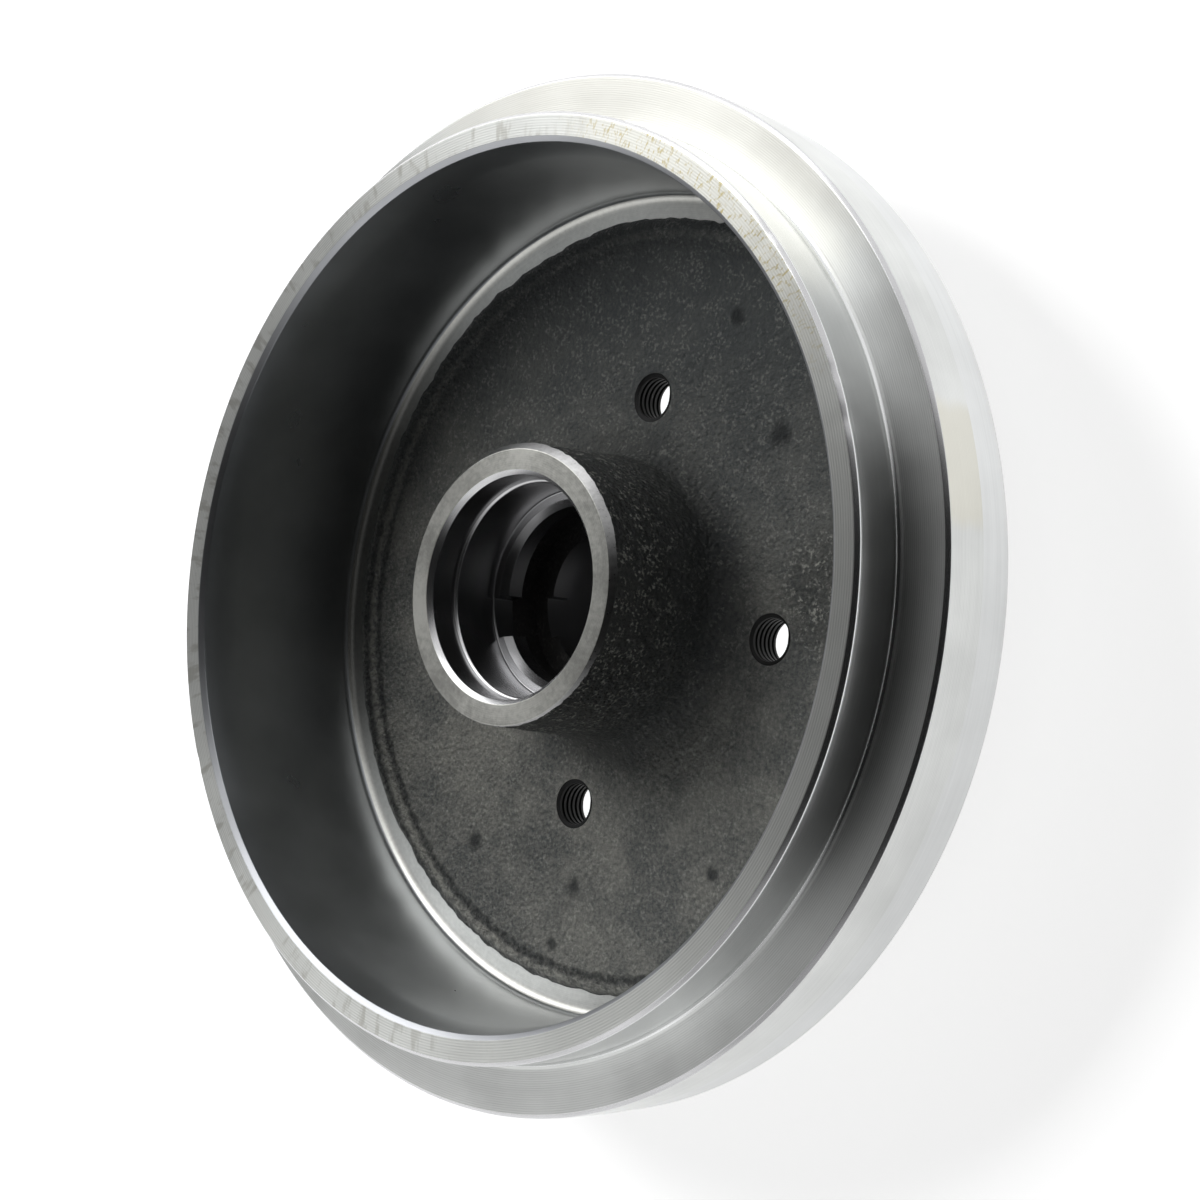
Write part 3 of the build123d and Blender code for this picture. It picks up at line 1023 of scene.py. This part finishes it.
# %% [markdown]
# ## The finishes of this drum
#
# Where the cutter ran fast and took little, as on the track and the bores, the metal is smooth. The
# track's own colour is a little bluish, and it is painted darker as well, a painted shade inside the
# drum; the bores are painted dark and the threads almost black, a painted shade deep in the hub and
# in the holes. The lip, the shoulder and the bands were cut with a coarser feed and scatter more
# light. Each turned finish has a colour, a roughness, how far its highlights stretch, the pitch and
# the depth of its grooves in millimetres, and how strongly the lines, the clouds and the grain show.
# A patch of oil has its direction and half its width in degrees, and the size of its streaks in
# millimetres.

# %% Patches of oil
STREAK_OCHRE = (0.46, 0.39, 0.19)
STREAK_GREY = (0.34, 0.33, 0.29)
LIP_OIL = {
    "direction": 62, "half_width": 24, "softness": 0.1, "film": 0.25,
    "streaks": 0.6, "width": 0.7, "length": 1.6, "depth": 0.85, "tips": STREAK_OCHRE,
}
LIP_SMUDGES = {
    "direction": 185, "half_width": 95, "softness": 0.4, "film": 0.0,
    "streaks": 0.62, "width": 2.6, "length": 9.0, "depth": 0.5, "tips": STREAK_GREY,
}
SHOULDER_OIL = {
    "direction": 82, "half_width": 34, "softness": 0.2, "film": 0.3,
    "streaks": 0.0, "width": 1.0, "length": 1.0, "depth": 0.0, "tips": STREAK_OCHRE,
}
BAND_OIL = {
    "direction": 22, "half_width": 6, "softness": 0.004, "film": 0.5,
    "streaks": 0.0, "width": 1.0, "length": 1.0, "depth": 0.0, "tips": STREAK_OCHRE,
}
OILED = {"lip_face": (LIP_OIL, LIP_SMUDGES), "shoulder": (SHOULDER_OIL,), "front_band": (BAND_OIL,)}

# %% One material for each finish
# Colour, roughness, stretch, pitch, groove, then lines, clouds and grain
TURNED = {
    "turned": ((0.63, 0.64, 0.63), 0.36, 0.6, 0.5, 0.01, 0.2, 0.5, 0.0),
    "lip_face": ((0.64, 0.65, 0.63), 0.42, 0.9, 0.62, 0.008, 0.22, 0.25, 0.0),
    "shoulder": ((0.64, 0.65, 0.64), 0.35, 0.84, 0.5, 0.006, 0.17, 0.3, 0.0),
    "lip_wall": ((0.72, 0.73, 0.73), 0.17, 0.5, 0.9, 0.002, 0.0, 0.2, 0.0),
    "front_band": ((0.66, 0.67, 0.66), 0.34, 0.6, 0.5, 0.006, 0.1, 0.3, 0.0),
    "rear_band": ((0.67, 0.68, 0.68), 0.3, 0.6, 0.4, 0.003, 0.05, 0.2, 0.0),
    "edge": ((0.57, 0.57, 0.58), 0.26, 0.3, 0.9, 0.0, 0.0, 0.2, 0.0),
    "track_bevel": ((0.42, 0.43, 0.45), 0.36, 0.6, 0.5, 0.0, 0.0, 0.3, 0.0),
    # Painted shade: the track's own bluish grey is painted darker inside the drum
    "track": ((0.37, 0.385, 0.4), 0.29, 0.4, 0.35, 0.0, 0.0, 0.35, 0.0),
    "ring": ((0.6, 0.6, 0.57), 0.3, 0.8, 0.45, 0.003, 0.05, 0.3, 0.25),
    "nose_bevel": ((0.29, 0.29, 0.29), 0.3, 0.4, 0.6, 0.002, 0.0, 0.5, 0.5),
    "nose_face": ((0.42, 0.42, 0.395), 0.42, 0.4, 0.5, 0.003, 0.1, 1.0, 0.7),
    # Painted shade: the bores are painted dark deep in the hub, and the thread almost black in its holes
    "bore": ((0.24, 0.24, 0.245), 0.26, 0.5, 0.5, 0.0, 0.0, 0.3, 0.0),
    "thread": ((0.03, 0.03, 0.03), 0.5, 0.0, 0.9, 0.0, 0.0, 0.3, 0.0),
}
# Dark and pale colour, roughness, relief of the grain, and the share of bare metal
SAND_CAST = {
    "cast": ((0.07, 0.078, 0.08), (0.34, 0.335, 0.3), 0.44, 1.2, 0.2),
    # Painted shade: the cavity in the hub is a much darker copy of the cast skin
    "cavity": ((0.04, 0.04, 0.04), (0.09, 0.085, 0.08), 0.6, 0.4, 0.1),
}
for name in FINISHES:
    if name in SAND_CAST:
        material = cast_iron(name, *SAND_CAST[name])
    else:
        material = turned_iron(name, *TURNED[name], patches=OILED.get(name, ()))
    mesh.materials.append(material)
print("materials:", len(mesh.materials))

# %% [markdown]
# ## The studio
#
# Polished metal shows the room more than itself. A room that is white all round makes it look flat,
# so the studio has a large soft lamp on one side, a weaker one across from it, and between them an
# arch of dark cloth over the camera, which fades towards its edges. The cloth is only seen in
# reflections. The floor and the world are white to the camera and in reflections. Close to the drum
# the floor's glow is painted a little lower, a painted shade round the drum, and the floor takes a
# lamp's light as well, so it keeps the drum's shadow. Under the hub the glow is painted out, a
# painted shade below a drum that stands on it. The matt skin needs another light than the metal: it
# comes from one side and from above, so that the nose throws its dark shadow on the web. That lamp
# is left out of reflections, and the two others light nothing but reflections.

# %% Floor
def seen_directly(tree):
    """1 for camera, glossy and transmission rays, 0 for the rays that carry light."""
    path = add(tree, "ShaderNodeLightPath").outputs
    seen = calc(tree, "MAXIMUM", path["Is Camera Ray"], path["Is Glossy Ray"])
    return calc(tree, "MAXIMUM", seen, path["Is Transmission Ray"])


WHITE = (1, 1, 1, 1)
FLOOR_HALF = 4.0
PAPER = 0.8
NEAR_GLOW = 0.8
NEAR_R = 250.0
FAR_GLOW = 1.0
FAR_R = 1200.0
floor_mesh = bpy.data.meshes.new("floor")
floor_bm = bmesh.new()
bmesh.ops.create_grid(floor_bm, x_segments=1, y_segments=1, size=FLOOR_HALF)
floor_bm.to_mesh(floor_mesh)
floor_bm.free()
floor = new_object("floor", floor_mesh)

paper, tree, shader = new_material("floor_paper")
from_axle = add(tree, "ShaderNodeVectorMath", {0: object_point(tree)}, operation="LENGTH")
from_axle = from_axle.outputs["Value"]
# Painted shade: the glow is a little lower close to the drum
glow = between(tree, from_axle, NEAR_R, FAR_R, NEAR_GLOW, FAR_GLOW)
# Painted shade: no glow under the hub
glow = calc(tree, "MULTIPLY", glow, between(tree, from_axle, CAP_R, SPIGOT_R))
glow = calc(tree, "MULTIPLY", glow, seen_directly(tree))
feed(tree, shader, {
    "Base Color": (PAPER, PAPER, PAPER, 1), "Roughness": 1.0, "Specular IOR Level": 0.0,
    "Emission Color": WHITE, "Emission Strength": glow,
})
floor_mesh.materials.append(paper)
print("floor:", FLOOR_HALF * 2, "m across")

# %% World
WORLD_LIGHT = 0.06
world = bpy.data.worlds.new("studio")
bpy.context.scene.world = world
world.use_nodes = True
tree = world.node_tree
strength = between(tree, seen_directly(tree), 0.0, 1.0, WORLD_LIGHT, 1.0)
feed(tree, tree.nodes["Background"], {"Color": WHITE, "Strength": strength})

# %% Lamps
TARGET = Vector((0, 0, 40)) * MM


def soft_lamp(name, place, width, height, radiance):
    """Area lamp that looks at the drum, as bright as a surface of the given radiance."""
    data = bpy.data.lights.new(name, "AREA")
    data.shape = "RECTANGLE"
    data.size = width
    data.size_y = height
    data.energy = radiance * math.pi * width * height
    lamp = new_object(name, data)
    lamp.location = place
    lamp.rotation_mode = "QUATERNION"
    lamp.rotation_quaternion = (TARGET - Vector(place)).to_track_quat("-Z", "Y")
    return lamp


for lamp in (
    soft_lamp("key_lamp", (-0.74, 1.02, 0.76), 1.75, 1.15, 1.95),
    soft_lamp("fill_lamp", (-0.5, -1.08, 0.82), 1.6, 0.9, 0.55),
):
    lamp.visible_diffuse = False
skin_lamp = soft_lamp("skin_lamp", (-0.834, 0.43, 1.278), 0.65, 0.65, 10.5)
skin_lamp.visible_glossy = False
print("lamps:", [light.name for light in bpy.data.lights])

# %% Dark cloth over the camera
CLOTH_RADIUS = 1.7
CLOTH_HALF_WIDTH = 5.0
CLOTH_FROM = math.radians(-5)
CLOTH_TO = math.radians(150)
CLOTH_STEPS = 24
cloth_bm = bmesh.new()
start = [
    cloth_bm.verts.new((CLOTH_RADIUS * math.cos(CLOTH_FROM), y, CLOTH_RADIUS * math.sin(CLOTH_FROM)))
    for y in (-CLOTH_HALF_WIDTH, CLOTH_HALF_WIDTH)
]
rail = cloth_bm.edges.new(start)
bmesh.ops.spin(
    cloth_bm, geom=[*start, rail], cent=(0, 0, 0), axis=(0, -1, 0), angle=CLOTH_TO - CLOTH_FROM,
    steps=CLOTH_STEPS, use_merge=False, use_duplicate=False,
)
cloth_mesh = bpy.data.meshes.new("dark_cloth")
cloth_bm.to_mesh(cloth_mesh)
cloth_bm.free()
cloth = new_object("dark_cloth", cloth_mesh)
for ray in ("camera", "diffuse", "transmission", "shadow", "volume_scatter"):
    setattr(cloth, "visible_" + ray, False)

# %% Felt that is dark along its middle and fades to the white of the room
FELT_DARK = 0.012
FELT_DIM = 0.3
FAR_SIDE = 0.5
felt, tree, shader = new_material("dark_felt")
tree.nodes.remove(shader)
place = add(tree, "ShaderNodeSeparateXYZ", {0: add(tree, "ShaderNodeTexCoord").outputs["Object"]})
off_middle = calc(tree, "ABSOLUTE", place.outputs["Y"])
middle = between(tree, place.outputs["X"], 0.6, -1.0, FELT_DARK, FELT_DIM)
wide = between(tree, place.outputs["X"], -0.3, 0.9)
fade_from = calc(tree, "MULTIPLY_ADD", wide, 0.55, 0.3)
fade_to = calc(tree, "MULTIPLY_ADD", wide, 1.0, 0.95)
share = calc(tree, "SUBTRACT", off_middle, fade_from)
share = calc(tree, "DIVIDE", share, calc(tree, "SUBTRACT", fade_to, fade_from))
fade = between(tree, share, 0.0, 1.0)
side = between(tree, place.outputs["Y"], -0.5, 0.5, FAR_SIDE, 1.0)
glow = calc(tree, "MULTIPLY_ADD", fade, calc(tree, "SUBTRACT", side, middle), middle)
emission = add(tree, "ShaderNodeEmission", {"Color": WHITE, "Strength": glow})
feed(tree, tree.nodes["Material Output"], {"Surface": emission.outputs[0]})
cloth_mesh.materials.append(felt)
print("faces of cloth:", len(cloth_mesh.polygons))

# %% Plain view of the colours
bpy.context.scene.view_settings.view_transform = "Standard"

# %% Tie to the frame
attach(casting, "root")
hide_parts("brake_drum")
